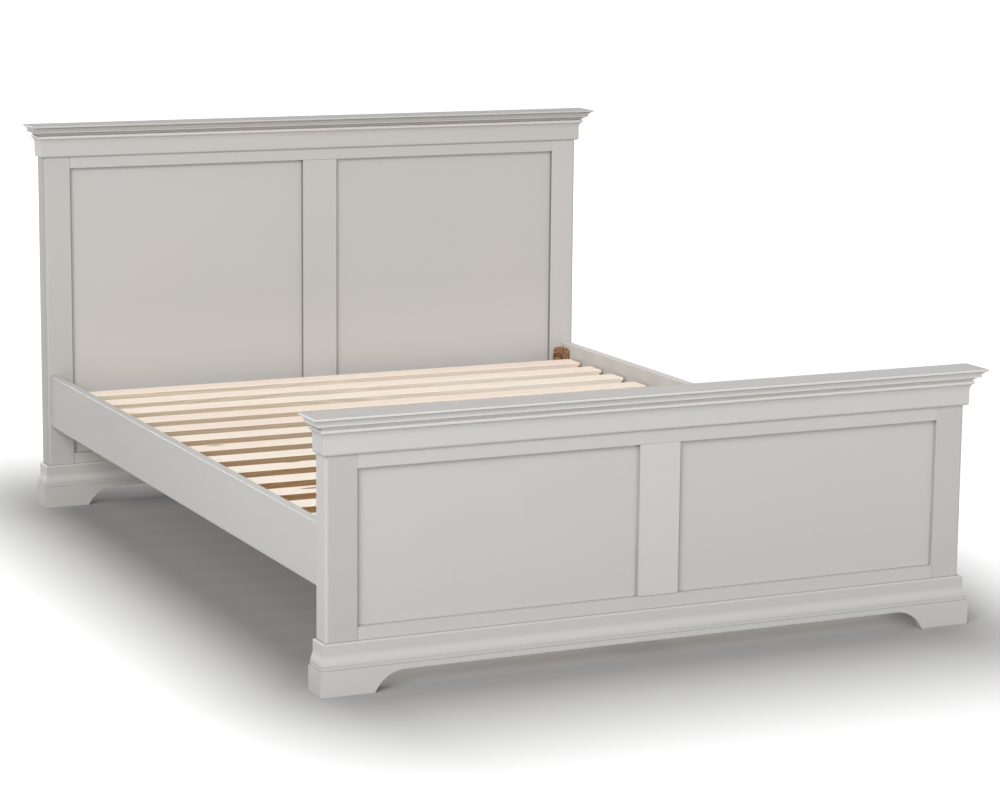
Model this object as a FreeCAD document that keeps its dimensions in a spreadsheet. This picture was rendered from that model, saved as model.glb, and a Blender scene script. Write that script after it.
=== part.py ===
import FreeCAD, Part
import Sketcher
import math
import os
from FreeCAD import Vector

# Panelled bed frame for a 1500 x 2000 mm mattress, in millimetres.
# +X is the right side seen from the foot, +Y points to the headboard, +Z is up.
# The origin is on the floor under the middle of the bounding box.

SIZES = {
    # mattress and the room round it
    "mattress_width": 1500,
    "mattress_length": 2000,
    "side_room": 27,
    "end_room": 10.5,
    # both ends: heights and the flat members
    "headboard_height": 1062.5,
    "footboard_height": 618,
    "post_width": 75,
    "post_depth": 55,
    "post_round": 8,
    "post_ease": 3,
    "seam_chamfer": 1.2,
    "member_thick": 32,
    "mullion_width": 102,
    "top_rail_show": 31,
    "bottom_rail_show": 30,
    # panels in their grooves, and the joints of the members
    "panel_thick": 9,
    "panel_recess": 12,
    "groove_depth": 10,
    "groove_play": 0.3,
    "tongue_play": 1,
    "tenon_thick": 12,
    "tenon_length": 35,
    "tenon_shoulder": 15,
    "joint_play": 0.2,
    # cap board: a thin lip, a cove, a fillet and a hollow
    "lip_reach": 40,
    "lip_thick": 5,
    "lip_round": 1.5,
    "cove_radius": 15,
    "cove_drop": 12,
    "fillet_reach": 28.5,
    "fillet_step": 1.5,
    "fillet_height": 3,
    "hollow_radius": 20,
    "hollow_drop": 9,
    "hollow_reach": 12.5,
    # frieze moulding under the cap
    "frieze_height": 60,
    "bead_radius": 4.75,
    "bead_step": 12,
    "scotia_drop": 15,
    "frieze_flat": 8,
    "frieze_foot_round": 6.5,
    # base moulding and plinth
    "plinth_height": 59,
    "plinth_thick": 18.5,
    "base_height": 57.5,
    "base_flat": 8,
    "base_round": 3.5,
    "base_foot": 15,
    "base_foot_height": 8,
    "base_step": 1,
    "ogee_height": 26,
    "foot_length": 127,
    "arch_run": 73,
    "arch_rise": 47.5,
    # side rails
    "rail_thick": 25,
    "rail_height": 142,
    "rail_bottom": 228,
    "rail_inset": 8,
    "rail_ease": 3,
    # slats and the ledgers that carry them
    "slat_count": 14,
    "slat_width": 72,
    "slat_thick": 20,
    "slat_ease": 1.5,
    "slat_drop": 40,
    "slat_side_play": 11,
    "slat_set": 12.75,
    "ledger_width": 30,
    "ledger_height": 30,
    "ledger_ease": 2,
    "ledger_gap": 5,
    # steel corner brackets and the bolts that hold them to the posts
    "bracket_height": 90,
    "bracket_rise": 38,
    "bracket_rail_arm": 50,
    "bracket_post_arm": 30,
    "bracket_thick": 3,
    "bracket_corner": 9,
    "bolt_radius": 4,
    "bolt_head_half": 6.5,
    "bolt_head_height": 5.3,
    "bolt_depth": 32,
    "bolt_play": 0.2,
    "bolt_edge": 20,
    "bolt_inset": 17,
    "bore_spare": 1,
    # centre rail, its hangers, leg and levelling glide
    "centre_rail_width": 30,
    "centre_rail_height": 70,
    "hanger_thick": 2.5,
    "hanger_reach": 40,
    "hanger_flange": 20,
    "hanger_cheek_drop": 12,
    "hanger_play": 0.3,
    "leg_width": 60,
    "leg_depth": 45,
    "leg_ease": 3,
    "leg_top_drop": 10,
    "glide_up": 10,
    "glide_down": 20,
    "glide_spare": 2,
    "glide_pad_radius": 18,
    "glide_pad_height": 8,
    "glide_pad_bevel": 2,
    "glide_nut_half": 8,
    "glide_nut_height": 4,
    "glide_stem_radius": 5,
    "glide_grip": 10,
    "glide_fit": 0.05,
    "insert_radius": 8,
    "insert_length": 20,
    "insert_flange_radius": 12.5,
    "insert_flange_thick": 2,
    # how far a cut runs past the piece
    "overrun": 1,
}

# a hexagon's corners, as shares of half its width across the flats
HEXAGON_TIP_SHARE = 1 / math.cos(math.pi / 6)
HEXAGON_FLAT_SHARE = math.tan(math.pi / 6)

doc = FreeCAD.newDocument("bed_frame")


class Size:
    """A length worked out from the sheet: its formula there and what it comes to now."""

    def __init__(self, formula, value):
        self.formula = formula
        self.value = value

    def __add__(self, other):
        return joined(self, "+", other)

    def __radd__(self, other):
        return joined(other, "+", self)

    def __sub__(self, other):
        return joined(self, "-", other)

    def __rsub__(self, other):
        return joined(other, "-", self)

    def __mul__(self, other):
        return joined(self, "*", other)

    def __rmul__(self, other):
        return joined(other, "*", self)

    def __truediv__(self, other):
        return joined(self, "/", other)

    def __neg__(self):
        return Size(f"(-{self.formula})", -self.value)


def joined(left, sign, right):
    """Joins two sizes, or a size and a plain number, by one sign."""
    left, right = as_size(left), as_size(right)
    results = {
        "+": lambda: left.value + right.value,
        "-": lambda: left.value - right.value,
        "*": lambda: left.value * right.value,
        "/": lambda: left.value / right.value,
    }
    return Size(f"({left.formula} {sign} {right.formula})", results[sign]())


def as_size(number):
    """A plain number as a size; a size stays as it is."""
    if isinstance(number, Size):
        return number
    return Size(repr(number), number)


class Sheet:
    """The spreadsheet of driving dimensions; each alias reads as a Size."""

    def __init__(self, sizes):
        self.cells = doc.addObject("Spreadsheet::Sheet", "sizes")
        self.values = sizes
        for row, (alias, value) in enumerate(sizes.items(), start=1):
            self.cells.set(f"A{row}", alias)
            self.cells.set(f"B{row}", str(value))
            self.cells.setAlias(f"B{row}", alias)

    def __getattr__(self, alias):
        return Size(f"sizes.{alias}", self.values[alias])


s = Sheet(SIZES)
doc.recompute()

# lengths that several pieces share
cap_thick = s.lip_thick + s.cove_drop + s.fillet_height + s.hollow_drop
interior_width = s.mattress_width + 2 * s.side_room
interior_length = s.mattress_length + 2 * s.end_room
rail_inner = interior_width / 2
post_outer = rail_inner + s.rail_thick + s.rail_inset
post_inner = post_outer - s.post_width
mullion_half = s.mullion_width / 2
overall_length = s.lip_reach + 2 * s.post_depth + interior_length
bay_middle = s.lip_reach / 2
bay_half = interior_length / 2
panel_bottom = s.plinth_height + s.base_height + s.bottom_rail_show
groove_front = s.panel_recess - s.groove_play
groove_back = s.panel_recess + s.panel_thick + s.groove_play
tongue = s.groove_depth - s.tongue_play
tenon_front = (s.member_thick - s.tenon_thick) / 2
tenon_back = tenon_front + s.tenon_thick
rail_top = s.rail_bottom + s.rail_height
slat_top = rail_top - s.slat_drop
slat_bottom = slat_top - s.slat_thick
bracket_bottom = s.rail_bottom + s.bracket_rise
bolt_heights = (bracket_bottom + s.bolt_edge, bracket_bottom + s.bracket_height - s.bolt_edge)
centre_rail_bottom = slat_bottom - s.centre_rail_height
bolt_across = rail_inner - s.bolt_inset
bolt_places = [(bolt_across, height) for height in bolt_heights]
bolt_bore = s.bolt_radius + s.bolt_play
bolt_bore_depth = s.bolt_depth + s.bore_spare
slat_half = rail_inner - s.slat_side_play
slat_margin = s.bracket_rail_arm + s.ledger_gap + s.slat_set
slat_count = SIZES["slat_count"]
slat_pitch = (interior_length - 2 * slat_margin - s.slat_width) / (s.slat_count - 1)
first_slat = slat_margin + s.slat_width / 2 - bay_half
slat_places = [first_slat + number * slat_pitch for number in range(slat_count)]
ledger_bottom = slat_bottom - s.ledger_height
foot_mullion = s.member_thick - s.post_depth - bay_half
head_mullion = bay_half
leg_bottom = s.glide_pad_height + s.glide_nut_height + s.insert_flange_thick + s.glide_up + s.glide_spare
glide_top = leg_bottom + s.glide_down + s.glide_grip

nodes = {}


def plane_of(body, role):
    """The body's own origin plane of that role."""
    return next(feature for feature in body.Origin.OriginFeatures if feature.Role == role)


def bind(thing, path, size):
    """Binds one property to its formula in the sheet."""
    thing.setExpression(path, as_size(size).formula)


def new_body(name):
    return doc.addObject("PartDesign::Body", name)


def arc_through(start, end, radius):
    """The arc of a signed radius between two points; positive turns to the left."""
    chord = end - start
    half = chord.Length / 2
    height = math.sqrt(max(radius * radius - half * half, 0))
    side = Vector(-chord.y, chord.x, 0).normalize()
    turn = math.copysign(1, radius)
    centre = (start + end) / 2 + side * (turn * height)
    middle = centre - side * (turn * abs(radius))
    return Part.Arc(start, middle, end)


def outline(body, plane, level, points, circles=()):
    """A closed sketch on an origin plane, moved to a level.

    A point is (across, up) or (across, up, radius): the radius makes an arc of the edge that
    comes into the point, to the left if positive. Each circle is (across, up, radius).
    """
    sketch = body.newObject("Sketcher::SketchObject", f"{body.Name}_sketch")
    sketch.AttachmentSupport = (plane_of(body, f"{plane}_Plane"), "")
    sketch.MapMode = "FlatFace"
    if isinstance(level, Size):
        bind(sketch, ".AttachmentOffset.Base.z", -level if plane == "XZ" else level)
    loops = [points] if points and isinstance(points[0], tuple) else points
    for loop in loops:
        add_loop(sketch, loop)
    for across, up, radius in circles:
        middle = Vector(as_size(across).value, as_size(up).value, 0)
        ring = sketch.addGeometry(Part.Circle(middle, Vector(0, 0, 1), radius.value), False)
        fix_point(sketch, ring, 3, across, up)
        fix_radius(sketch, ring, radius)
    return sketch


def add_loop(sketch, loop):
    """Adds one closed run of lines and arcs, with every corner fixed from the sheet."""
    corners = [Vector(as_size(point[0]).value, as_size(point[1]).value, 0) for point in loop]
    nexts = list(range(1, len(loop))) + [0]
    radii = [loop[following][2] if len(loop[following]) > 2 else None for following in nexts]
    edges = []
    starts = []
    ends = []
    for corner, following, radius in zip(corners, nexts, radii):
        if radius is None:
            edge = Part.LineSegment(corner, corners[following])
        else:
            edge = arc_through(corner, corners[following], radius.value)
        edges.append(sketch.addGeometry(edge, False))
        # an arc that turns right is kept the other way round, so its two ends change places
        turned_round = radius is not None and radius.value < 0
        starts.append(2 if turned_round else 1)
        ends.append(1 if turned_round else 2)
    for index, following in enumerate(nexts):
        joint = (edges[index], ends[index], edges[following], starts[following])
        sketch.addConstraint(Sketcher.Constraint("Coincident", *joint))
    for index, radius in enumerate(radii):
        fix_point(sketch, edges[index], starts[index], loop[index][0], loop[index][1])
        if radius is not None:
            fix_radius(sketch, edges[index], radius if radius.value > 0 else -radius)


def fix_point(sketch, edge, end, across, up):
    """Fixes a point by its distances from the sketch's origin, or on its axes."""
    for kind, axis, distance in (("DistanceX", -2, across), ("DistanceY", -1, up)):
        if not isinstance(distance, Size):
            sketch.addConstraint(Sketcher.Constraint("PointOnObject", edge, end, axis))
            continue
        number = sketch.addConstraint(Sketcher.Constraint(kind, -1, 1, edge, end, distance.value))
        sketch.setExpression(f"Constraints[{number}]", distance.formula)


def fix_radius(sketch, edge, radius):
    number = sketch.addConstraint(Sketcher.Constraint("Radius", edge, radius.value))
    sketch.setExpression(f"Constraints[{number}]", radius.formula)


def pad(body, plane, level, points, length, circles=()):
    """Adds a prism that runs from the level towards the plane's positive axis."""
    feature = body.newObject("PartDesign::Pad", f"{body.Name}_pad")
    feature.Profile = outline(body, plane, level, points, circles)
    feature.Reversed = plane == "XZ"
    bind(feature, "Length", length)
    body.Tip = feature


def pocket(body, plane, level, points, length, circles=()):
    """Cuts a prism that runs from the level towards the plane's positive axis."""
    feature = body.newObject("PartDesign::Pocket", f"{body.Name}_pocket")
    feature.Profile = outline(body, plane, level, points, circles)
    feature.Reversed = plane != "XZ"
    bind(feature, "Length", length)
    body.Tip = feature


def turned(body, points):
    """Turns a half outline about the body's upright axis."""
    feature = body.newObject("PartDesign::Revolution", f"{body.Name}_turned")
    sketch = outline(body, "XZ", 0, points)
    feature.Profile = sketch
    feature.ReferenceAxis = (sketch, ["V_Axis"])
    feature.Angle = 360
    body.Tip = feature


def rectangle(left, right, low, high):
    return [(left, low), (right, low), (right, high), (left, high)]


def block(body, left, right, front, back, low, high):
    """Adds a plain block."""
    pad(body, "XY", low, rectangle(left, right, front, back), high - low)


def slot(body, left, right, front, back, low, high):
    """Cuts a plain block out."""
    pocket(body, "XY", low, rectangle(left, right, front, back), high - low)


def bores(body, plane, low, high, places, radius):
    """Cuts round holes of one radius, from one level to another."""
    circles = [(across, up, radius) for across, up in places]
    pocket(body, plane, low, [], high - low, circles)


def hexagon(half):
    """A hexagon round the upright axis, by half its width across the flats."""
    tip = half * HEXAGON_TIP_SHARE
    shoulder = half * HEXAGON_FLAT_SHARE
    right = [(0, -tip), (half, -shoulder), (half, shoulder)]
    left = [(0, tip), (-half, shoulder), (-half, -shoulder)]
    return right + left


def eased_rectangle(left, right, low, high, ease):
    """A rectangle with all four corners cut off alike."""
    return [
        (left + ease, low),
        (right - ease, low),
        (right, low + ease),
        (right, high - ease),
        (right - ease, high),
        (left + ease, high),
        (left, high - ease),
        (left, low + ease),
    ]


def rounded_rectangle(left, right, low, high, radius):
    """A rectangle with all four corners rounded alike."""
    return [
        (left + radius, low, radius),
        (right - radius, low),
        (right, low + radius, radius),
        (right, high - radius),
        (right - radius, high, radius),
        (left + radius, high),
        (left, high - radius, radius),
        (left, low + radius),
    ]


def mirrored(name, source, normal):
    """The same piece on the other side of the plane through the origin."""
    copy = doc.addObject("Part::Mirroring", name)
    copy.Source = source
    copy.Normal = normal
    return copy


def finish(piece):
    """Keeps a finished piece; it is written to a file of its name."""
    nodes[piece.Name] = piece


def finish_pair(body):
    """Keeps a right-hand piece and its mirror image on the left."""
    finish(body)
    finish(mirrored(body.Name.replace("_right", "_left"), body, Vector(1, 0, 0)))


def linked(source, across, along, up):
    """A copy of a piece at a place of its own."""
    copy = doc.addObject("App::Link", f"{source.Name}_copy")
    copy.LinkedObject = source
    for letter, size in (("x", across), ("y", along), ("z", up)):
        if isinstance(size, Size):
            bind(copy, f".Placement.Base.{letter}", size)
    return copy


def group(name, pieces):
    """Several solids of one kind in one node."""
    whole = doc.addObject("Part::Compound", name)
    whole.Links = pieces
    return whole


class End:
    """The headboard or the footboard: its name, height, place and bolt holes from and to."""

    def __init__(self, name, height, front, bolt_holes):
        self.name = name
        self.height = height
        self.front = front
        self.bolt_holes = bolt_holes
        self.cap_bottom = height - cap_thick
        self.frieze_bottom = self.cap_bottom - s.frieze_height
        self.panel_top = self.frieze_bottom - s.top_rail_show

    def body(self, piece):
        """A body drawn from the front face of the posts, set at this end of the bed."""
        body = new_body(f"{self.name}_{piece}")
        bind(body, ".Placement.Base.y", self.front)
        return body


# the bolts go into the headboard's posts from the front and into the footboard's from the back
HEAD = End(
    "headboard", s.headboard_height, overall_length / 2 - s.post_depth,
    (-s.overrun, bolt_bore_depth),
)
FOOT = End(
    "footboard", s.footboard_height, s.lip_reach - overall_length / 2,
    (s.post_depth - bolt_bore_depth, s.post_depth + s.overrun),
)


def tenon_span(low, high):
    return low + s.tenon_shoulder, high - s.tenon_shoulder


def build_post(end):
    body = end.body("post_right")
    section = [
        (post_inner + s.seam_chamfer, 0),
        (post_outer - s.post_round, 0),
        (post_outer, s.post_round, s.post_round),
        (post_outer, s.post_depth - s.post_ease),
        (post_outer - s.post_ease, s.post_depth, s.post_ease),
        (post_inner + s.post_ease, s.post_depth),
        (post_inner, s.post_depth - s.post_ease, s.post_ease),
        (post_inner, s.seam_chamfer),
    ]
    pad(body, "XY", 0, section, end.cap_bottom)
    for span in ((s.arch_rise, panel_bottom), (end.panel_top, end.cap_bottom)):
        low, high = tenon_span(*span)
        slot(
            body,
            post_inner - s.overrun,
            post_inner + s.tenon_length + s.joint_play,
            tenon_front - s.joint_play,
            tenon_back + s.joint_play,
            low - s.joint_play,
            high + s.joint_play,
        )
    slot(
        body,
        post_inner - s.overrun,
        post_inner + s.groove_depth,
        groove_front,
        groove_back,
        panel_bottom - s.groove_depth,
        end.panel_top + s.groove_depth,
    )
    bores(body, "XZ", *end.bolt_holes, bolt_places, bolt_bore)
    finish_pair(body)


def build_rail(end, piece, low, high, groove_low, groove_high):
    """A rail with a tenon at each end and a groove along the edge at the panels."""
    body = end.body(piece)
    section = [
        (s.seam_chamfer - post_inner, 0),
        (post_inner - s.seam_chamfer, 0),
        (post_inner, s.seam_chamfer),
        (post_inner, s.member_thick),
        (-post_inner, s.member_thick),
        (-post_inner, s.seam_chamfer),
    ]
    pad(body, "XY", low, section, high - low)
    tenon_reach = post_inner + s.tenon_length
    block(body, -tenon_reach, tenon_reach, tenon_front, tenon_back, *tenon_span(low, high))
    groove_reach = post_inner + s.overrun
    slot(body, -groove_reach, groove_reach, groove_front, groove_back, groove_low, groove_high)
    finish(body)


def build_rails(end):
    build_rail(
        end, "top_rail", end.panel_top, end.cap_bottom,
        end.panel_top - s.overrun, end.panel_top + s.groove_depth,
    )
    build_rail(
        end, "bottom_rail", s.arch_rise, panel_bottom,
        panel_bottom - s.groove_depth, panel_bottom + s.overrun,
    )


def build_mullion(end):
    """The upright between the panels, with stub tenons in the rails' grooves."""
    body = end.body("mullion")
    side = [
        (s.seam_chamfer, panel_bottom),
        (s.member_thick, panel_bottom),
        (s.member_thick, end.panel_top),
        (s.seam_chamfer, end.panel_top),
        (0, end.panel_top - s.seam_chamfer),
        (0, panel_bottom + s.seam_chamfer),
    ]
    pad(body, "YZ", -mullion_half, side, s.mullion_width)
    stub_half = mullion_half - s.groove_depth
    block(
        body, -stub_half, stub_half,
        s.panel_recess, s.panel_recess + s.panel_thick,
        panel_bottom - tongue, end.panel_top + tongue,
    )
    outer = mullion_half + s.overrun
    low, high = panel_bottom - s.overrun, end.panel_top + s.overrun
    slot(body, -outer, -stub_half, groove_front, groove_back, low, high)
    slot(body, stub_half, outer, groove_front, groove_back, low, high)
    finish(body)


def build_panel(end):
    body = end.body("panel_right")
    block(
        body, mullion_half - tongue, post_inner + tongue,
        s.panel_recess, s.panel_recess + s.panel_thick,
        panel_bottom - tongue, end.panel_top + tongue,
    )
    finish_pair(body)


def tangent_radius(run, rise):
    """The radius of an arc over this run and rise that starts or ends square to its run."""
    return (run * run + rise * rise) / (2 * run)


# A moulding's profile is a list of (reach from the posts' faces, height) from the top down,
# with the radius of the arc that comes into a point, positive where the wood bulges.


def crown_profile(top):
    """The cap's front edge: a rounded lip, a cove, a fillet and a hollow."""
    fillet_top = top - s.lip_thick - s.cove_drop
    return [
        (s.lip_reach - s.lip_round, top),
        (s.lip_reach, top - s.lip_round, s.lip_round),
        (s.lip_reach, top - s.lip_thick + s.lip_round),
        (s.lip_reach - s.lip_round, top - s.lip_thick, s.lip_round),
        (s.fillet_reach - s.fillet_step, fillet_top, -s.cove_radius),
        (s.fillet_reach, fillet_top),
        (s.fillet_reach, fillet_top - s.fillet_height),
        (s.hollow_reach, top - cap_thick, -s.hollow_radius),
    ]


def frieze_profile(top):
    """A bead, a hollow, a broad flat and a rounded foot."""
    bead_bottom = top - 2 * s.bead_radius
    scotia_radius = tangent_radius(s.bead_step - s.frieze_flat, s.scotia_drop)
    bottom = top - s.frieze_height
    return [
        (0, top),
        (s.bead_step, top),
        (s.bead_step + s.bead_radius, top - s.bead_radius, s.bead_radius),
        (s.bead_step, bead_bottom, s.bead_radius),
        (s.frieze_flat, bead_bottom - s.scotia_drop, -scotia_radius),
        (s.frieze_flat, bottom + s.frieze_foot_round),
        (s.frieze_flat - s.frieze_foot_round, bottom, s.frieze_foot_round),
        (0, bottom),
    ]


def base_profile():
    """A rounded top edge, a flat and an ogee that spreads to a foot on the plinth."""
    top = s.plinth_height + s.base_height
    ogee_bottom = s.plinth_height + s.base_foot_height
    ogee_reach = s.base_foot - s.base_step
    ogee_run = (ogee_reach - s.base_flat) / 2
    ogee_radius = tangent_radius(ogee_run, s.ogee_height / 2)
    return [
        (0, top),
        (s.base_flat - s.base_round, top),
        (s.base_flat, top - s.base_round, s.base_round),
        (s.base_flat, ogee_bottom + s.ogee_height),
        (s.base_flat + ogee_run, ogee_bottom + s.ogee_height / 2, -ogee_radius),
        (ogee_reach, ogee_bottom, ogee_radius),
        (s.base_foot, ogee_bottom),
        (s.base_foot, s.plinth_height),
        (0, s.plinth_height),
    ]


def front_section(profile):
    """The profile in the YZ plane, on the front face."""
    return [(-reach if isinstance(reach, Size) else 0, *rest) for reach, *rest in profile]


def end_section(profile):
    """The profile in the XZ plane, on the right end."""
    section = []
    for reach, height, *radius in profile:
        section.append((post_outer + reach, height, *[-size for size in radius]))
    return section


def both_sides(loop):
    """A loop in a plane across the bed, and its mirror image."""
    other = [(-across, up, *[-size for size in radius]) for across, up, *radius in loop]
    return [loop, other]


def build_cap(end):
    """The cap board: its front profile runs the length, and its end profile cuts the ends."""
    body = end.body("cap")
    top = end.height
    profile = crown_profile(top)
    back = [(s.post_depth, end.cap_bottom), (s.post_depth, top)]
    reach = post_outer + s.lip_reach
    pad(body, "YZ", -reach, back + front_section(profile), 2 * reach)
    beyond = reach + s.overrun
    waste = end_section(profile)
    waste.append((waste[-1][0], end.cap_bottom - s.overrun))
    waste.append((beyond, end.cap_bottom - s.overrun))
    waste.append((beyond, top + s.overrun))
    waste.append((waste[0][0], top + s.overrun))
    front = -s.lip_reach - s.overrun
    pocket(body, "XZ", front, both_sides(waste), s.post_depth + s.overrun - front)
    finish(body)


def mitred_front(end, piece, reach, low, high, draw):
    """A front piece with its ends cut to 45 degrees on the outer corners of the posts."""
    body = end.body(f"{piece}_front")
    draw(body)
    far = reach + 2 * s.overrun
    mitre = [
        (post_outer - s.overrun, s.overrun),
        (post_outer + far, -far),
        (post_outer + far, s.overrun),
    ]
    cut_low = low - s.overrun
    pocket(body, "XY", cut_low, both_sides(mitre), high + s.overrun - cut_low)
    finish(body)


def mitred_return(end, piece, reach, low, high, section):
    """A return along the outer face of the post, mitred to the front piece."""
    body = end.body(f"{piece}_right")
    front = -reach - s.overrun
    pad(body, "XZ", front, section, s.post_depth - front)
    far = reach + 2 * s.overrun
    mitre = [
        (post_outer - s.overrun, s.overrun),
        (post_outer - s.overrun, -far),
        (post_outer + far, -far),
    ]
    cut_low = low - s.overrun
    pocket(body, "XY", cut_low, mitre, high + s.overrun - cut_low)
    finish_pair(body)


def build_moulding(end, piece, profile, reach, low, high):
    """A moulding along the front with a return on each end."""
    half = post_outer + reach + s.overrun

    def draw(body):
        pad(body, "YZ", -half, front_section(profile), 2 * half)

    mitred_front(end, piece, reach, low, high, draw)
    mitred_return(end, piece, reach, low, high, end_section(profile))


def build_mouldings(end):
    build_moulding(
        end, "frieze", frieze_profile(end.cap_bottom),
        s.bead_step + s.bead_radius, end.frieze_bottom, end.cap_bottom,
    )
    build_moulding(
        end, "base_moulding", base_profile(),
        s.base_foot, s.plinth_height, s.plinth_height + s.base_height,
    )


def build_plinth(end):
    """The plinth board with its long low arch between two bracket feet, and its returns."""
    corner = post_outer + s.plinth_thick
    beyond = corner + s.overrun
    toe = corner - s.foot_length
    spring = toe - s.arch_run
    arch_radius = tangent_radius(s.arch_rise, s.arch_run)
    board = [
        (-beyond, 0),
        (-toe, 0),
        (-spring, s.arch_rise, -arch_radius),
        (spring, s.arch_rise),
        (toe, 0, -arch_radius),
        (beyond, 0),
        (beyond, s.plinth_height),
        (-beyond, s.plinth_height),
    ]

    def draw(body):
        pad(body, "XZ", -s.plinth_thick, board, s.plinth_thick)

    mitred_front(end, "plinth", s.plinth_thick, 0, s.plinth_height, draw)
    section = rectangle(post_outer, corner, 0, s.plinth_height)
    mitred_return(end, "plinth", s.plinth_thick, 0, s.plinth_height, section)


# Between the ends everything is drawn from the middle of the bay and then set in its place.


def bay_body(name):
    body = new_body(name)
    bind(body, ".Placement.Base.y", bay_middle)
    return body


def bay_group(name, pieces):
    whole = group(name, pieces)
    bind(whole, ".Placement.Base.y", bay_middle)
    finish(whole)


def build_side_rails():
    body = bay_body("side_rail_right")
    section = rounded_rectangle(
        rail_inner, rail_inner + s.rail_thick, s.rail_bottom, rail_top, s.rail_ease
    )
    pad(body, "XZ", -bay_half, section, interior_length)
    finish_pair(body)


def build_ledgers():
    """The batten inside each side rail that carries the slats' ends."""
    body = bay_body("slat_ledger_right")
    inner = rail_inner - s.ledger_width
    half = bay_half - s.bracket_rail_arm - s.ledger_gap
    section = eased_rectangle(inner, rail_inner, ledger_bottom, slat_bottom, s.ledger_ease)
    pad(body, "XZ", -half, section, 2 * half)
    finish_pair(body)


def build_slats():
    """Pine slats laid across the ledgers and the centre rail."""
    half = s.slat_width / 2
    for number, along in enumerate(slat_places, start=1):
        body = new_body(f"slat_{number:02d}")
        bind(body, ".Placement.Base.y", bay_middle + along)
        section = eased_rectangle(-half, half, slat_bottom, slat_top, s.slat_ease)
        pad(body, "YZ", -slat_half, section, 2 * slat_half)
        finish(body)


def rounded_plate(free, fixed, low, high, radius):
    """A plate whose two corners at the free side are rounded."""
    return [
        (free + radius, low, radius),
        (fixed, low),
        (fixed, high),
        (free + radius, high),
        (free, high - radius, radius),
        (free, low + radius),
    ]


def four_corners(name, piece):
    """A piece of the right-hand corner at the headboard, mirrored to all four corners."""
    left = mirrored(f"{name}_left", piece, Vector(1, 0, 0))
    head = group(f"{name}_head", [piece, left])
    foot = mirrored(f"{name}_foot", head, Vector(0, 1, 0))
    bay_group(name, [head, foot])


def build_brackets():
    """Folded steel angles in the corners between the side rails and the posts."""
    body = new_body("corner_bracket")
    high = bracket_bottom + s.bracket_height
    thick = s.bracket_thick
    post_face = bay_half - thick
    free = bay_half - s.bracket_rail_arm
    arm = rounded_plate(free, bay_half, bracket_bottom, high, s.bracket_corner)
    pad(body, "YZ", rail_inner - thick, arm, thick)
    free = rail_inner - s.bracket_post_arm
    arm = rounded_plate(free, rail_inner, bracket_bottom, high, s.bracket_corner)
    pad(body, "XZ", post_face, arm, thick)
    bores(body, "XZ", post_face - s.overrun, bay_half + s.overrun, bolt_places, bolt_bore)
    four_corners("corner_brackets", body)


def build_bolts():
    """Hexagon-head bolts, two through each bracket into its post."""
    body = new_body("bed_bolt")
    seat = bay_half - s.bracket_thick
    shank = s.bracket_thick + s.bolt_depth
    pad(body, "XZ", seat, [], shank, [(0, 0, s.bolt_radius)])
    pad(body, "XZ", seat - s.bolt_head_height, hexagon(s.bolt_head_half), s.bolt_head_height)
    copies = [linked(body, bolt_across, 0, height) for height in bolt_heights]
    four_corners("bed_bolts", group("corner_bolts", copies))


def build_centre_rail():
    """The rail under the middle of the slats, hung between the two mullions."""
    body = bay_body("centre_rail")
    half = s.centre_rail_width / 2
    foot_end = foot_mullion + s.hanger_thick
    section = eased_rectangle(-half, half, centre_rail_bottom, slat_bottom, s.ledger_ease)
    pad(body, "XZ", foot_end, section, head_mullion - s.hanger_thick - foot_end)
    finish(body)


def build_hangers():
    """Folded steel pockets on the mullions that hold the centre rail's ends."""
    body = new_body("centre_rail_hanger")
    low = centre_rail_bottom - s.hanger_thick
    high = slat_bottom - s.hanger_cheek_drop
    inner = s.centre_rail_width / 2 + s.hanger_play
    outer = inner + s.hanger_thick
    wide = outer + s.hanger_flange
    block(body, -wide, wide, 0, s.hanger_thick, low, high)
    block(body, -outer, outer, 0, s.hanger_reach, low, centre_rail_bottom)
    block(body, inner, outer, 0, s.hanger_reach, low, high)
    block(body, -outer, -inner, 0, s.hanger_reach, low, high)
    foot = linked(body, 0, foot_mullion, 0)
    head = linked(mirrored("head_hanger", body, Vector(0, 1, 0)), 0, head_mullion, 0)
    bay_group("centre_rail_hangers", [foot, head])


def build_leg():
    """The centre leg: a fork round the centre rail, bored for the levelling glide."""
    body = bay_body("centre_leg")
    wide = s.leg_width / 2
    deep = s.leg_depth / 2
    top = slat_bottom - s.leg_top_drop
    section = eased_rectangle(-wide, wide, -deep, deep, s.leg_ease)
    pad(body, "XY", leg_bottom, section, top - leg_bottom)
    fork = s.centre_rail_width / 2 + s.joint_play
    reach = deep + s.overrun
    slot(body, -fork, fork, -reach, reach, centre_rail_bottom, top + s.overrun)
    low = leg_bottom - s.overrun
    stem_bore = s.glide_stem_radius + s.joint_play
    bores(body, "XY", low, glide_top + s.glide_up + s.glide_spare, [(0, 0)], stem_bore)
    insert_bore = s.insert_radius + s.glide_fit
    bores(body, "XY", low, leg_bottom + s.insert_length + s.glide_fit, [(0, 0)], insert_bore)
    finish(body)


def build_insert():
    """The threaded insert in the foot of the leg, with its flange against the wood."""
    body = bay_body("glide_insert")
    bore = s.glide_stem_radius + s.glide_fit
    flange_bottom = leg_bottom - s.insert_flange_thick
    half = [
        (bore, flange_bottom),
        (s.insert_flange_radius, flange_bottom),
        (s.insert_flange_radius, leg_bottom),
        (s.insert_radius, leg_bottom),
        (s.insert_radius, leg_bottom + s.insert_length),
        (bore, leg_bottom + s.insert_length),
    ]
    turned(body, half)
    finish(body)


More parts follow.
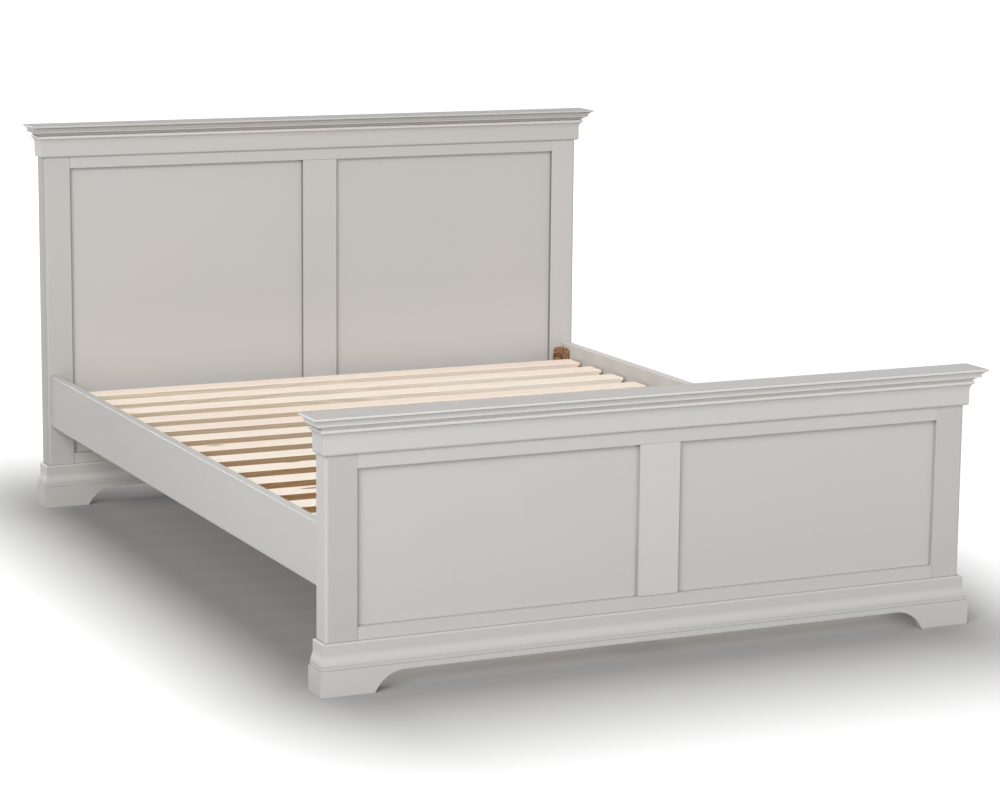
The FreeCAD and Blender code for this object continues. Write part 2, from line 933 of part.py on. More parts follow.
def build_glide():
    """The levelling glide: a round pad on the floor, a hexagon to turn and a stem."""
    body = bay_body("centre_leg_glide")
    half = [
        (0, 0),
        (s.glide_pad_radius - s.glide_pad_bevel, 0),
        (s.glide_pad_radius, s.glide_pad_bevel),
        (s.glide_pad_radius, s.glide_pad_height),
        (s.glide_stem_radius, s.glide_pad_height),
        (s.glide_stem_radius, glide_top),
        (0, glide_top),
    ]
    turned(body, half)
    pad(body, "XY", s.glide_pad_height, hexagon(s.glide_nut_half), s.glide_nut_height)
    finish(body)


for board in (HEAD, FOOT):
    build_post(board)
    build_rails(board)
    build_mullion(board)
    build_panel(board)
    build_cap(board)
    build_mouldings(board)
    build_plinth(board)
build_side_rails()
build_ledgers()
build_slats()
build_brackets()
build_bolts()
build_centre_rail()
build_hangers()
build_leg()
build_insert()
build_glide()
doc.recompute()

for thing in doc.Objects:
    if "Invalid" in thing.State or "Error" in thing.State:
        raise RuntimeError(f"{thing.Label} failed: {thing.State}")
    if thing.TypeId == "PartDesign::Pocket":
        if thing.Shape.Volume >= thing.BaseFeature.Shape.Volume:
            raise RuntimeError(f"{thing.Label} cuts nothing")

os.makedirs("parts", exist_ok=True)
for name, thing in nodes.items():
    shape = thing.Shape
    if shape.isNull() or not shape.isValid():
        raise RuntimeError(f"{name} has no valid shape")
for name, thing in nodes.items():
    thing.Shape.exportStep(f"parts/{name}.step")
whole = Part.makeCompound([thing.Shape for thing in nodes.values()]).BoundBox
print(len(nodes), "nodes,", f"{whole.XLength:.1f} x {whole.YLength:.1f} x {whole.ZLength:.1f} mm")
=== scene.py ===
import math

import bmesh
import bpy
from mathutils import Matrix, Vector


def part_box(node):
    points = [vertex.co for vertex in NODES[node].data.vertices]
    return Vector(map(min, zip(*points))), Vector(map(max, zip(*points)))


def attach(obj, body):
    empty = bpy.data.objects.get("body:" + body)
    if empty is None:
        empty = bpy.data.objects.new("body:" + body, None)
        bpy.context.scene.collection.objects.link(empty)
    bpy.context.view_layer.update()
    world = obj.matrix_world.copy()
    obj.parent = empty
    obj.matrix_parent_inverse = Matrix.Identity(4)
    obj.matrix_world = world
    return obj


# A painted, panelled bed frame with a pine slatted base, in metres.
# +X is the right side seen from the foot, +Y points to the headboard, +Z is up.

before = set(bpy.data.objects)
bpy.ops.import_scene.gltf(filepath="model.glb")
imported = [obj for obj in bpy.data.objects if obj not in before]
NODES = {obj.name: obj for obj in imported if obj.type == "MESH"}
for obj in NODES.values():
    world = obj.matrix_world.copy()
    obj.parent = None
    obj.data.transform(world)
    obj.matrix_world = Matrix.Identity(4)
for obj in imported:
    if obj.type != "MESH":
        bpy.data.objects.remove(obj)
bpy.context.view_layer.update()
MM = 0.001

# The bed's axes. The grain of a board runs along one of them.
ACROSS, ALONG, UPRIGHT = 0, 1, 2


# Short ways to add shader nodes

FLAT_SPAN = (0.8, 0.95)
NOISE_SPAN = (0.3, 0.7)
CLOUD_SPAN = (0.35, 0.65)


class Signal:
    """A value that changes over a surface; sums and products of it add Math nodes."""

    def __init__(self, nodes, socket):
        self.nodes = nodes
        self.socket = socket

    def math(self, operation, *values):
        """The result of a Math node on this value and the others."""
        return self.nodes.math(operation, self, *values)

    def __add__(self, other):
        return self.math("ADD", other)

    __radd__ = __add__

    def __sub__(self, other):
        return self.math("SUBTRACT", other)

    def __rsub__(self, other):
        return self.nodes.math("SUBTRACT", other, self)

    def __mul__(self, other):
        return self.math("MULTIPLY", other)

    __rmul__ = __mul__

    def __truediv__(self, other):
        return self.math("DIVIDE", other)


class Nodes:
    """The nodes of a material or of the surround."""

    def __init__(self, tree):
        self.tree = tree

    def node(self, kind, sockets=None, **settings):
        """A node of one kind: its settings come first, then the values or links of its sockets."""
        made = self.tree.nodes.new(f"ShaderNode{kind}")
        for name, value in settings.items():
            setattr(made, name, value)
        for name, value in (sockets or {}).items():
            self.feed(made.inputs[name], value)
        return made

    def feed(self, socket, value):
        """Links a signal to a socket, or sets a plain value on it."""
        if isinstance(value, Signal):
            self.tree.links.new(value.socket, socket)
        else:
            socket.default_value = value

    def output(self, node, name):
        """One output of a node, as a signal."""
        return Signal(self, node.outputs[name])

    def math(self, operation, *values):
        """The result of a Math node on the values."""
        return self.output(self.node("Math", dict(enumerate(values)), operation=operation), 0)

    def parts(self, vector):
        """The three coordinates of a vector."""
        split = self.node("SeparateXYZ", {0: vector})
        return [self.output(split, axis) for axis in "XYZ"]

    def place(self):
        """The point on the object, and its three coordinates."""
        point = self.output(self.node("TexCoord"), "Object")
        return point, self.parts(point)

    def facing(self, axis):
        """How far the surface faces along an axis, either way, from 0 to 1."""
        normal = self.output(self.node("TexCoord"), "Normal")
        return self.parts(normal)[axis].math("ABSOLUTE")

    def flat_faces(self, axis):
        """1 on the faces that look along an axis, either way, and 0 on the others."""
        return self.rising(self.facing(axis), FLAT_SPAN)

    def stretched(self, point, axis, along, across):
        """The point scaled by its repeats per metre: few along the grain and many across it."""
        scales = tuple(along if number == axis else across for number in range(3))
        return self.output(self.node("Mapping", {"Vector": point, "Scale": scales}), "Vector")

    def noise(self, point, scale=1.0, detail=2.0, roughness=0.5):
        """Noise from 0 to 1; its scale is in repeats per metre."""
        sockets = {"Vector": point, "Scale": scale, "Detail": detail, "Roughness": roughness}
        return self.output(self.node("TexNoise", sockets), "Fac")

    def grain(self, point, axis, along, across, detail=2.0):
        """Noise that is drawn out along the grain."""
        return self.noise(self.stretched(point, axis, along, across), detail=detail)

    def ranged(self, value, span, levels):
        """Turns a span of the value softly into a span of levels, and stays inside it."""
        sockets = {
            "Value": value,
            "From Min": span[0],
            "From Max": span[1],
            "To Min": levels[0],
            "To Max": levels[1],
        }
        node = self.node("MapRange", sockets, interpolation_type="SMOOTHSTEP")
        return self.output(node, "Result")

    def rising(self, value, span):
        """0 below the span and 1 above it."""
        return self.ranged(value, span, (0.0, 1.0))

    def falling(self, value, span):
        """1 below the span and 0 above it."""
        return self.ranged(value, span, (1.0, 0.0))

    def blend(self, share, first, second):
        """One colour turning into another; a colour is three numbers or a signal."""
        node = self.node("Mix", {"Factor": share}, data_type="RGBA")
        for name, colour in (("A", first), ("B", second)):
            socket = next(s for s in node.inputs if s.name == name and s.type == "RGBA")
            self.feed(socket, colour if isinstance(colour, Signal) else (*colour, 1.0))
        return Signal(self, next(s for s in node.outputs if s.type == "RGBA"))

    def seen_directly(self):
        """1 for what the camera sees, also in a mirror or through glass, 0 for bounced light."""
        rays = self.node("LightPath")
        seen = self.output(rays, "Is Camera Ray")
        for kind in ("Is Glossy Ray", "Is Transmission Ray"):
            seen = seen.math("MAXIMUM", self.output(rays, kind))
        return seen


class Finish(Nodes):
    """A material with one Principled shader."""

    def __init__(self, name, uniform):
        self.material = bpy.data.materials.new(name)
        self.material.use_nodes = True
        super().__init__(self.material.node_tree)
        self.shader = self.tree.nodes["Principled BSDF"]
        for socket, value in uniform.items():
            self.shader.inputs[socket].default_value = value

    def vary(self, values):
        """Feeds the shader with what changes over the surface."""
        for name, value in values.items():
            self.feed(self.shader.inputs[name], value)

    def relief(self, height, depth, strength):
        """Raises the surface by a signal from 0 to 1, to a depth in metres."""
        sockets = {"Height": height, "Distance": depth, "Strength": strength}
        self.vary({"Normal": self.output(self.node("Bump", sockets), "Normal")})


def scaled(tone, level):
    """A tone made darker or lighter."""
    return tuple(value * level for value in tone)


# Satin paint
# Each pair of levels scales a tone, at the footboard and at the headboard: painted light and shade.

PAINT = (0.556, 0.537, 0.519)
PAINT_COOL = (0.545, 0.540, 0.522)
PAINT_LIGHT = (0.580, 0.560, 0.541)
ENDS_SPAN = (-0.6, 0.6)

PAINT_UNIFORM = {"IOR": 1.45, "Specular IOR Level": 0.35}
PAINT_CLOUD = {"scale": 2.2, "detail": 1.0}
STROKES = {"along": 4, "across": 260, "detail": 3.0}
STROKES_LIGHT_SPAN = (0.45, 0.85)
STROKES_LIGHT = (0.0, 0.35)
PAINT_ROUGHNESS = (0.40, 0.50)
PORES = {"along": 18, "across": 900, "detail": 1.0}
STROKES_HEIGHT = 0.6
PORES_HEIGHT = 0.4
PAINT_RELIEF = {"depth": 0.12 * MM, "strength": 0.35}

# Painted light and shade: each kind of board gets a lighter or darker copy of the one paint at each
# end.
BOARD_LEVELS = (0.99, 1.02)
LEFT_POST_LEVELS = (0.88, 0.96)
RIGHT_POST_LEVELS = (0.93, 1.07)
MULLION_LEVELS = (1.05, 1.02)
CAP_LEVELS = (1.20, 1.02)
PLINTH_LEVELS = (1.03, 1.02)
FRIEZE_LEVELS = (1.03, 1.03)
LEFT_RAIL_LEVELS = (0.94, 0.83)
RIGHT_RAIL_LEVELS = (1.12, 1.08)

# Painted shade on the top faces.
TOP_LEVELS = (0.80, 0.60)
# Painted shade on the posts' outer flanks.
FLANK_LEVELS = (0.98, 0.72)
FLANK_SPAN = (0.2, 0.85)
# Painted shade on the walls of the panels' recesses.
WALL_LEVELS = {ACROSS: (0.75, 0.45), UPRIGHT: (0.95, 0.72)}
WALLS_WITHIN = (738 * MM, 742 * MM)
# A painted highlight on the bead.
BEAD_HIGHLIGHT_LEVELS = (1.30, 1.28)
BEAD_SPAN = (-10 * MM, -7 * MM)
# Painted light on the headboard near the slats.
LIFT_LEVEL = 1.12
LIFT_SPAN = (360 * MM, 600 * MM)
PLANE_SPAN = (-1 * MM, 1 * MM)

# Painted shade in the creases, deepest near the floor; the footboard's cap and frieze get painted
# light there instead. The calm shares take some of the painted crease shade away.
CREASE_LEVELS = (1.02, 0.55)
CAP_CREASE_LEVELS = (1.38, 0.60)
FRIEZE_CREASE_LEVELS = (1.30, 0.60)
LOW_CREASE_LEVEL = 0.30
CREASES_LOW = (200 * MM, 320 * MM)
CREASE_REACH = 4 * MM
CREASE_SAMPLES = 8
OPEN_SPAN = (0.25, 0.85)
CALM_REACH = (8 * MM, 14 * MM)
CALM_TOP = (485 * MM, 492 * MM)
LEFT_PANEL_CALM = (0.0, 0.55)
RIGHT_PANEL_CALM = (0.85, 0.90)


class Paint(Finish):
    """Warm grey satin paint over faint wood grain, with painted light and shade. Each step lays a
    tone over those before it.
    """

    def __init__(self, name, axis, levels=BOARD_LEVELS):
        super().__init__(name, PAINT_UNIFORM)
        point, self.places = self.place()
        self.head = self.rising(self.places[ALONG], ENDS_SPAN)
        self.inside = self.falling(self.places[ACROSS].math("ABSOLUTE"), WALLS_WITHIN)
        self.strokes = self.grain(point, axis, **STROKES)
        self.pores = self.grain(point, axis, **PORES)
        cloud = self.noise(point, **PAINT_CLOUD)
        # Painted light and shade: the board's levels lighten or darken every tone of the paint.
        warm, cool, pale = [self.toned(tone, levels) for tone in (PAINT, PAINT_COOL, PAINT_LIGHT)]
        self.tone = self.blend(self.rising(cloud, CLOUD_SPAN), warm, cool)
        self.cover(self.ranged(self.strokes, STROKES_LIGHT_SPAN, STROKES_LIGHT), pale)

    def at_ends(self, pair):
        """The pair's first number at the footboard and its second at the headboard."""
        return self.ranged(self.head, (0.0, 1.0), pair)

    def toned(self, tone, levels):
        """A tone at the footboard's level, turning into its level at the headboard: painted light
        and shade along the bed.
        """
        return self.blend(self.head, *[scaled(tone, level) for level in levels])

    def cover(self, share, tone):
        """Lays another tone over the paint, as far as the share says."""
        self.tone = self.blend(share, self.tone, tone)

    def shade_tops(self):
        """Painted shade: darker top faces."""
        self.cover(self.flat_faces(UPRIGHT), self.toned(PAINT, TOP_LEVELS))

    def shade_flanks(self):
        """Painted shade: a post's darker outer flank."""
        flank = self.rising(self.facing(ACROSS), FLANK_SPAN) * (1.0 - self.inside)
        self.cover(flank, self.toned(PAINT, FLANK_LEVELS))

    def paint_bead_highlight(self, tops):
        """A painted highlight on the bead, below the top of the frieze at each end."""
        rise = self.places[UPRIGHT] - self.at_ends(tops)
        self.cover(self.rising(rise, BEAD_SPAN), self.toned(PAINT, BEAD_HIGHLIGHT_LEVELS))

    def lift(self, plane):
        """Painted light: a lighter headboard near the slats, in front of a plane, against the shade
        that falls there.
        """
        low = self.falling(self.places[UPRIGHT], LIFT_SPAN)
        before = self.falling(self.places[ALONG] - plane, PLANE_SPAN)
        self.cover(low * self.head * before, scaled(PAINT, LIFT_LEVEL))

    def calmness(self, edge, shares):
        """How much of a panel's painted crease shade is taken away: at its left edge, and at the
        footboard's top.
        """
        beside = self.falling(self.places[ACROSS] - edge, CALM_REACH) * self.at_ends(shares)
        above = self.rising(self.places[UPRIGHT], CALM_TOP) * (1.0 - self.head)
        return beside.math("MAXIMUM", above)

    def shade_creases(self, levels=CREASE_LEVELS, calmness=None):
        """Painted shade where another face stands close, the deepest in tone near the floor; where
        a level is above one, it is painted light instead.
        """
        low = self.falling(self.places[UPRIGHT], CREASES_LOW)
        tone = self.blend(low, self.toned(PAINT, levels), scaled(PAINT, LOW_CREASE_LEVEL))
        around = self.node("AmbientOcclusion", {"Distance": CREASE_REACH}, samples=CREASE_SAMPLES)
        depth = self.falling(self.output(around, "AO"), OPEN_SPAN)
        if calmness:
            depth = depth * (1.0 - calmness)
        self.cover(depth, tone)

    def shade_walls(self, axis):
        """Painted shade: darker walls of the panels' recesses, which face one axis."""
        self.cover(self.flat_faces(axis) * self.inside, self.toned(PAINT, WALL_LEVELS[axis]))

    def done(self):
        """The finished material."""
        roughness = self.ranged(self.strokes, NOISE_SPAN, PAINT_ROUGHNESS)
        self.vary({"Base Color": self.tone, "Roughness": roughness})
        height = self.strokes * STROKES_HEIGHT + self.pores * PORES_HEIGHT
        self.relief(height, **PAINT_RELIEF)
        return self.material


def painted_board(name, axis, levels=BOARD_LEVELS):
    """A plain board's paint, with the painted light and shade of its levels and painted shade in
    its creases.
    """
    paint = Paint(name, axis, levels)
    paint.shade_creases()
    return paint.done()


def painted_cap():
    """The caps' paint: painted light over the footboard's cap and in its creases, painted shade on
    top and in the headboard's creases.
    """
    paint = Paint("paint_cap", ACROSS, CAP_LEVELS)
    paint.shade_tops()
    paint.shade_creases(CAP_CREASE_LEVELS)
    return paint.done()


def painted_frieze():
    """The friezes' paint, with a painted highlight on the bead under the cap, painted light in the
    footboard's creases and painted shade in the headboard's.
    """
    paint = Paint("paint_frieze", ACROSS, FRIEZE_LEVELS)
    paint.paint_bead_highlight([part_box(f"{end}_frieze_front")[1].z for end in ("footboard", "headboard")])
    paint.shade_creases(FRIEZE_CREASE_LEVELS)
    return paint.done()


def painted_rail():
    """The rails' paint, with painted shade in its creases and on the walls over and under the
    panels.
    """
    paint = Paint("paint_rail", ACROSS)
    paint.shade_creases()
    paint.shade_walls(UPRIGHT)
    return paint.done()


def painted_post(name, levels):
    """A post's paint, with the painted light and shade of its levels, and painted shade on its
    outer flank, in its creases and on the wall beside the panel.
    """
    paint = Paint(name, UPRIGHT, levels)
    paint.shade_flanks()
    paint.shade_creases()
    paint.shade_walls(ACROSS)
    return paint.done()


def middle_plane(node):
    """The plane halfway between the front and the back of a board."""
    low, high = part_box(node)
    return (low.y + high.y) / 2


def painted_mullion():
    """The mullions' paint, with painted light from its levels and near the slats, and painted shade
    in its creases and on the walls beside the panels.
    """
    paint = Paint("paint_mullion", UPRIGHT, MULLION_LEVELS)
    paint.lift(middle_plane("headboard_mullion"))
    paint.shade_creases()
    paint.shade_walls(ACROSS)
    return paint.done()


def painted_panel(name, left_board, calm_shares):
    """A panel's paint, with painted light near the slats and painted shade in its crease and on its
    walls; the crease's painted shade is weaker beside the board at its left.
    """
    paint = Paint(name, UPRIGHT)
    paint.lift(middle_plane("headboard_panel_left"))
    paint.shade_creases(calmness=paint.calmness(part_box(left_board)[1].x, calm_shares))
    paint.shade_walls(ACROSS)
    return paint.done()


# Planed pine

PINE_PALE = (0.960, 0.880, 0.770)
PINE_ROSY = (0.930, 0.800, 0.700)
PINE_RING = (0.860, 0.690, 0.500)
# The knots' own dark colour, also used for the painted shade at the slats' right-hand tips.
PINE_KNOT_AND_TIP_SHADE = (0.270, 0.130, 0.055)
PINE_END = (0.520, 0.380, 0.225)
PINE_EDGE = (0.900, 0.800, 0.640)
# Painted shade on the slats' edges near the foot.
PINE_EDGE_SHADED = (0.360, 0.200, 0.088)
# Painted shade: the ledgers and centre rail are darker pine, as in the shade under the slats.
BATTEN_SHADE_LEVEL = 0.55

PINE_UNIFORM = {"IOR": 1.45, "Specular IOR Level": 0.12}
STREAKS = {"along": 1.6, "across": 60}
STREAKS_SPAN = (0.40, 0.85)
STREAKS_SHIFT = 0.3
FIBRES = {"along": 14, "across": 700}
FIBRES_SHARES = (0.5, 1.0)
PINE_ROUGHNESS = (0.5, 0.62)
KNOTS = {"along": 2.6, "across": 9}
KNOT_SPAN = (0.055, 0.10)
KNOT_SHARE = 0.8

# The rings are a wave in radians per metre: tilted, swaying, and shifted from board to board.
RING_WAVE = 900
RING_TILT = 0.6
RING_BEND = {"along": 1.3, "across": 7}
RING_SWAY = 0.07
RING_SHIFT = 3
RING_SPAN = (0.35, 1.0)
RING_SHARES = (0.0, 0.42)
LONE_BOARD = 0.5

FIBRES_HEIGHT = 0.7
RING_HEIGHT = 0.3
PINE_RELIEF = {"depth": 0.15 * MM, "strength": 0.5}

# Painted shade and light on a slat's edge: along the bed and, by its turn, to the right, an edge
# gets paler and then as light as the face.
# Painted shade: its right-hand tip is dark in the lower part.
EDGE_SPAN = (-0.75, 1.15)
EDGE_TURN = 0.35
LIT_SPAN = (-0.30, 0.60)
LIT_TURN = 0.25
TIP_SPAN = (757 * MM, 761 * MM)
TIP_RISE = (319 * MM, 323 * MM)
CUT_SPAN = (0.6, 0.8)


class Pine(Finish):
    """Pale pine with its grain along one axis; boards that lie one pitch apart differ in tone."""

    def __init__(self, name, axis, pitch=None):
        super().__init__(name, PINE_UNIFORM)
        self.axis = axis
        self.point, self.places = self.place()
        self.chance = self.board_chance(pitch) if pitch else LONE_BOARD
        self.fibres = self.grain(self.point, axis, **FIBRES)
        self.rings = self.ring_lines()
        share = self.ranged(self.rings, RING_SPAN, RING_SHARES)
        self.ring_share = share * self.ranged(self.fibres, NOISE_SPAN, FIBRES_SHARES)

    def board_chance(self, pitch):
        """A random number from 0 to 1 for each board."""
        board = (self.places[ALONG] / pitch).math("FLOOR")
        return self.output(self.node("TexWhiteNoise", {"W": board}, noise_dimensions="1D"), "Value")

    def ring_lines(self):
        """Growth rings that run along the board, as lines from 0 to 1."""
        near, far = [place for number, place in enumerate(self.places) if number != self.axis]
        bend = self.grain(self.point, self.axis, **RING_BEND)
        depth = near + far * RING_TILT + bend * RING_SWAY + self.chance * RING_SHIFT
        return (depth * RING_WAVE).math("SINE") * 0.5 + 0.5

    def planed_face(self, level):
        """Pale and rosy streaks, with rings and a few long knots."""
        pale, rosy, ring = [scaled(tone, level) for tone in (PINE_PALE, PINE_ROSY, PINE_RING)]
        streaks = self.grain(self.point, self.axis, **STREAKS) + self.chance * STREAKS_SHIFT
        tone = self.blend(self.rising(streaks, STREAKS_SPAN), pale, rosy)
        tone = self.blend(self.ring_share, tone, ring)
        cells = self.node("TexVoronoi", {
            "Vector": self.stretched(self.point, self.axis, **KNOTS),
            "Scale": 1.0,
        })
        knot = self.falling(self.output(cells, "Distance"), KNOT_SPAN)
        return self.blend(knot * KNOT_SHARE, tone, PINE_KNOT_AND_TIP_SHADE)

    def slat_edge(self, face):
        """A slat's long edge: painted shade near the foot, painted light like the face at the
        right, and painted shade at its tip.
        """
        across, along, upright = self.places
        tone = self.blend(
            self.rising(along + across * EDGE_TURN, EDGE_SPAN), PINE_EDGE_SHADED, PINE_EDGE
        )
        tone = self.blend(self.ring_share, tone, PINE_END)
        tone = self.blend(self.rising(across + along * LIT_TURN, LIT_SPAN), tone, face)
        # Painted shade at the right-hand tip.
        tip = self.rising(across, TIP_SPAN) * self.falling(upright, TIP_RISE)
        return self.blend(tip, tone, PINE_KNOT_AND_TIP_SHADE)

    def done(self, tone):
        """The finished material: end grain where the fibres are cut, and a fine relief."""
        cut = self.rising(self.facing(self.axis), CUT_SPAN)
        self.vary({
            "Base Color": self.blend(cut, tone, PINE_END),
            "Roughness": self.ranged(self.fibres, NOISE_SPAN, PINE_ROUGHNESS),
        })
        self.relief(self.fibres * FIBRES_HEIGHT + self.rings * RING_HEIGHT, **PINE_RELIEF)
        return self.material


def slat_pine():
    """The slats' pine: they lie across the bed, one pitch apart."""
    wood = Pine("pine_slats", ACROSS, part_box("slat_02")[0].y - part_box("slat_01")[0].y)
    face = wood.planed_face(1.0)
    return wood.done(wood.blend(wood.flat_faces(ALONG), face, wood.slat_edge(face)))


def batten_pine(name, axis, level):
    """The pine of a board that isn't one of a row, made darker by a level below one, as painted
    shade.
    """
    wood = Pine(name, axis)
    return wood.done(wood.planed_face(level))


# Bronze coat, plated steel and moulded plastic

METAL_UNIFORM = {"IOR": 1.5}

BRONZE = (0.200, 0.105, 0.055)
BRONZE_WORN = (0.640, 0.400, 0.260)
GRIT = {"scale": 1400, "detail": 2.0}
GRIT_ROUGHNESS = (0.42, 0.58)
COAT_RELIEF = {"depth": 0.08 * MM, "strength": 0.6}
WEAR = {"scale": 90, "detail": 4.0, "roughness": 0.65}
WEAR_SPAN = (0.44, 0.60)
WEAR_SHARE = 0.85
WEAR_METAL_SPAN = (0.44, 0.75)
WEAR_METAL = (0.35, 0.6)

PLATED = (0.560, 0.400, 0.260)
PLATED_DULL = (0.380, 0.250, 0.150)
PLATE_CLOUD = {"scale": 160, "detail": 3.0}
PLATE_ROUGHNESS = (0.28, 0.42)
PLATE_METAL_SPAN = (0.2, 0.9)
PLATE_METAL = (0.95, 0.85)
PLATE_MARKS = {"scale": 2200, "detail": 1.0}
PLATE_RELIEF = {"depth": 0.03 * MM, "strength": 0.4}

BLACK = (0.022, 0.022, 0.023)
BLACK_DUSTY = (0.045, 0.044, 0.043)
DUST = {"scale": 240, "detail": 3.0}
DUST_SPAN = (0.45, 0.75)
PLASTIC_ROUGHNESS = (0.42, 0.6)
PLASTIC_RELIEF = {"depth": 0.05 * MM, "strength": 0.4}
PAD_TOP_SPAN = (7.9 * MM, 8.1 * MM)
STEM_SMOOTHER = 0.15
STEM_METAL = 0.9


def coated_steel():
    """Dark bronze powder coat, a little worn."""
    coat = Finish("bronze_coat", METAL_UNIFORM)
    point, _ = coat.place()
    grit = coat.noise(point, **GRIT)
    wear = coat.noise(point, **WEAR)
    coat.vary({
        "Base Color": coat.blend(coat.rising(wear, WEAR_SPAN) * WEAR_SHARE, BRONZE, BRONZE_WORN),
        "Roughness": coat.ranged(grit, NOISE_SPAN, GRIT_ROUGHNESS),
        "Metallic": coat.ranged(wear, WEAR_METAL_SPAN, WEAR_METAL),
    })
    coat.relief(grit, **COAT_RELIEF)
    return coat.material


def plated_steel():
    """Bronze-plated fastener steel with faint turning marks."""
    plate = Finish("bolt_steel", METAL_UNIFORM)
    point, _ = plate.place()
    cloud = plate.noise(point, **PLATE_CLOUD)
    plate.vary({
        "Base Color": plate.blend(plate.rising(cloud, CLOUD_SPAN), PLATED, PLATED_DULL),
        "Roughness": plate.ranged(cloud, NOISE_SPAN, PLATE_ROUGHNESS),
        "Metallic": plate.ranged(cloud, PLATE_METAL_SPAN, PLATE_METAL),
    })
    plate.relief(plate.noise(point, **PLATE_MARKS), **PLATE_RELIEF)
    return plate.material


def glide_finish():
    """Black moulded plastic up to the pad's top, plated steel from there up."""
    glide = Finish("glide", METAL_UNIFORM)
    point, places = glide.place()
    steel = glide.rising(places[UPRIGHT], PAD_TOP_SPAN)
    dust = glide.noise(point, **DUST)
    plastic = glide.blend(glide.rising(dust, DUST_SPAN), BLACK, BLACK_DUSTY)
    rough = glide.ranged(dust, NOISE_SPAN, PLASTIC_ROUGHNESS)
    glide.vary({
        "Base Color": glide.blend(steel, plastic, PLATED),
        "Roughness": rough - steel * STEM_SMOOTHER,
        "Metallic": steel * STEM_METAL,
    })
    glide.relief(dust, **PLASTIC_RELIEF)
    return glide.material


# The CAD pieces

def dress(node, material):
    """Gives a CAD node its one material."""
    slots = NODES[node].data.materials
    slots.clear()
    slots.append(material)


def board_paints():
    """A paint for each kind of board, each a lighter or darker copy of the one paint with its own
    painted light and shade. Rail, across and return serve those without their own.
    """
    return {
        "across": painted_board("paint_across", ACROSS),
        "return": painted_board("paint_return", ALONG),
        "rail": painted_rail(),
        "cap": painted_cap(),
        "frieze_front": painted_frieze(),
        "plinth_front": painted_board("paint_plinth", ACROSS, PLINTH_LEVELS),
        "post_left": painted_post("paint_post_left", LEFT_POST_LEVELS),
        "post_right": painted_post("paint_post_right", RIGHT_POST_LEVELS),
        "mullion": painted_mullion(),
        "panel_left": painted_panel("paint_panel_left", "headboard_post_left", LEFT_PANEL_CALM),
        "panel_right": painted_panel("paint_panel_right", "headboard_mullion", RIGHT_PANEL_CALM),
        "side_rail_left": painted_board("paint_rail_left", ALONG, LEFT_RAIL_LEVELS),
        "side_rail_right": painted_board("paint_rail_right", ALONG, RIGHT_RAIL_LEVELS),
    }


def board_paint(node, paints):
    """A board's own paint, or else the one with its grain along the board."""
    piece = node if node.startswith("side_rail") else node.split("_", 1)[1]
    if piece in paints:
        return paints[piece]
    if piece.endswith("rail"):
        return paints["rail"]
    return paints["return" if piece.endswith(("_left", "_right")) else "across"]


def dress_boards():
    """Paint on both ends and the side rails, pine on what carries the mattress."""
    paints = board_paints()
    slat = slat_pine()
    # Painted shade: the ledgers and centre rail take a darker pine.
    batten = batten_pine("pine_battens", ALONG, BATTEN_SHADE_LEVEL)
    for node in NODES:
        if node.startswith(("headboard", "footboard", "side_rail")):
            dress(node, board_paint(node, paints))
        elif node.startswith("slat_ledger"):
            dress(node, batten)
        elif node.startswith("slat_"):
            dress(node, slat)
    dress("centre_rail", batten)
    dress("centre_leg", batten_pine("pine_leg", UPRIGHT, 1.0))


def dress_hardware(fastener):
    """Coated brackets and hangers, plated bolts and insert, and the glide."""
    steel = coated_steel()
    dress("corner_brackets", steel)
    dress("centre_rail_hangers", steel)
    dress("bed_bolts", fastener)
    dress("glide_insert", fastener)
    dress("centre_leg_glide", glide_finish())


# Small wood screws

PAN_HEAD = {"radius": 4.2 * MM, "height": 2.6 * MM, "dome": 0.9 * MM, "recess": 1.4 * MM}
FLUSH_HEAD = {"radius": 4.0 * MM, "height": 0.4 * MM, "dome": 0.05 * MM, "recess": 0.3 * MM}
RECESS_HALF = 0.55 * MM
RECESS_REACH = 2.3 * MM
HEAD_SIDES = 24

BRACKET_THICK = 3 * MM
BRACKET_SCREWS = ((20 * MM, -30 * MM), (36 * MM, 0), (20 * MM, 30 * MM))
HANGER_THICK = 2.5 * MM
HANGER_SCREW_EDGE = 10 * MM
HANGER_SCREW_RISE = 14 * MM
LEDGER_SCREW_COUNT = 7
LEG_SCREW_RISES = (20 * MM, 45 * MM)


def in_recess(face):
    """Whether a face of the flat disc lies in the cross recess."""
    near, far = sorted(abs(value) for value in face.calc_center_median().xy)
    return near < RECESS_HALF and far < RECESS_REACH


def twins(head, parts):
    """A new vertex for each vertex of some edges or faces."""
    verts = dict.fromkeys(vert for part in parts for vert in part.verts)
    return {vert: head.verts.new(vert.co) for vert in verts}


def add_walls(head, edges, low):
    """Faces from the edges down to the lower twins of their vertices."""
    for edge in edges:
        first, second = edge.verts
        head.faces.new((first, second, low[second], low[first]))


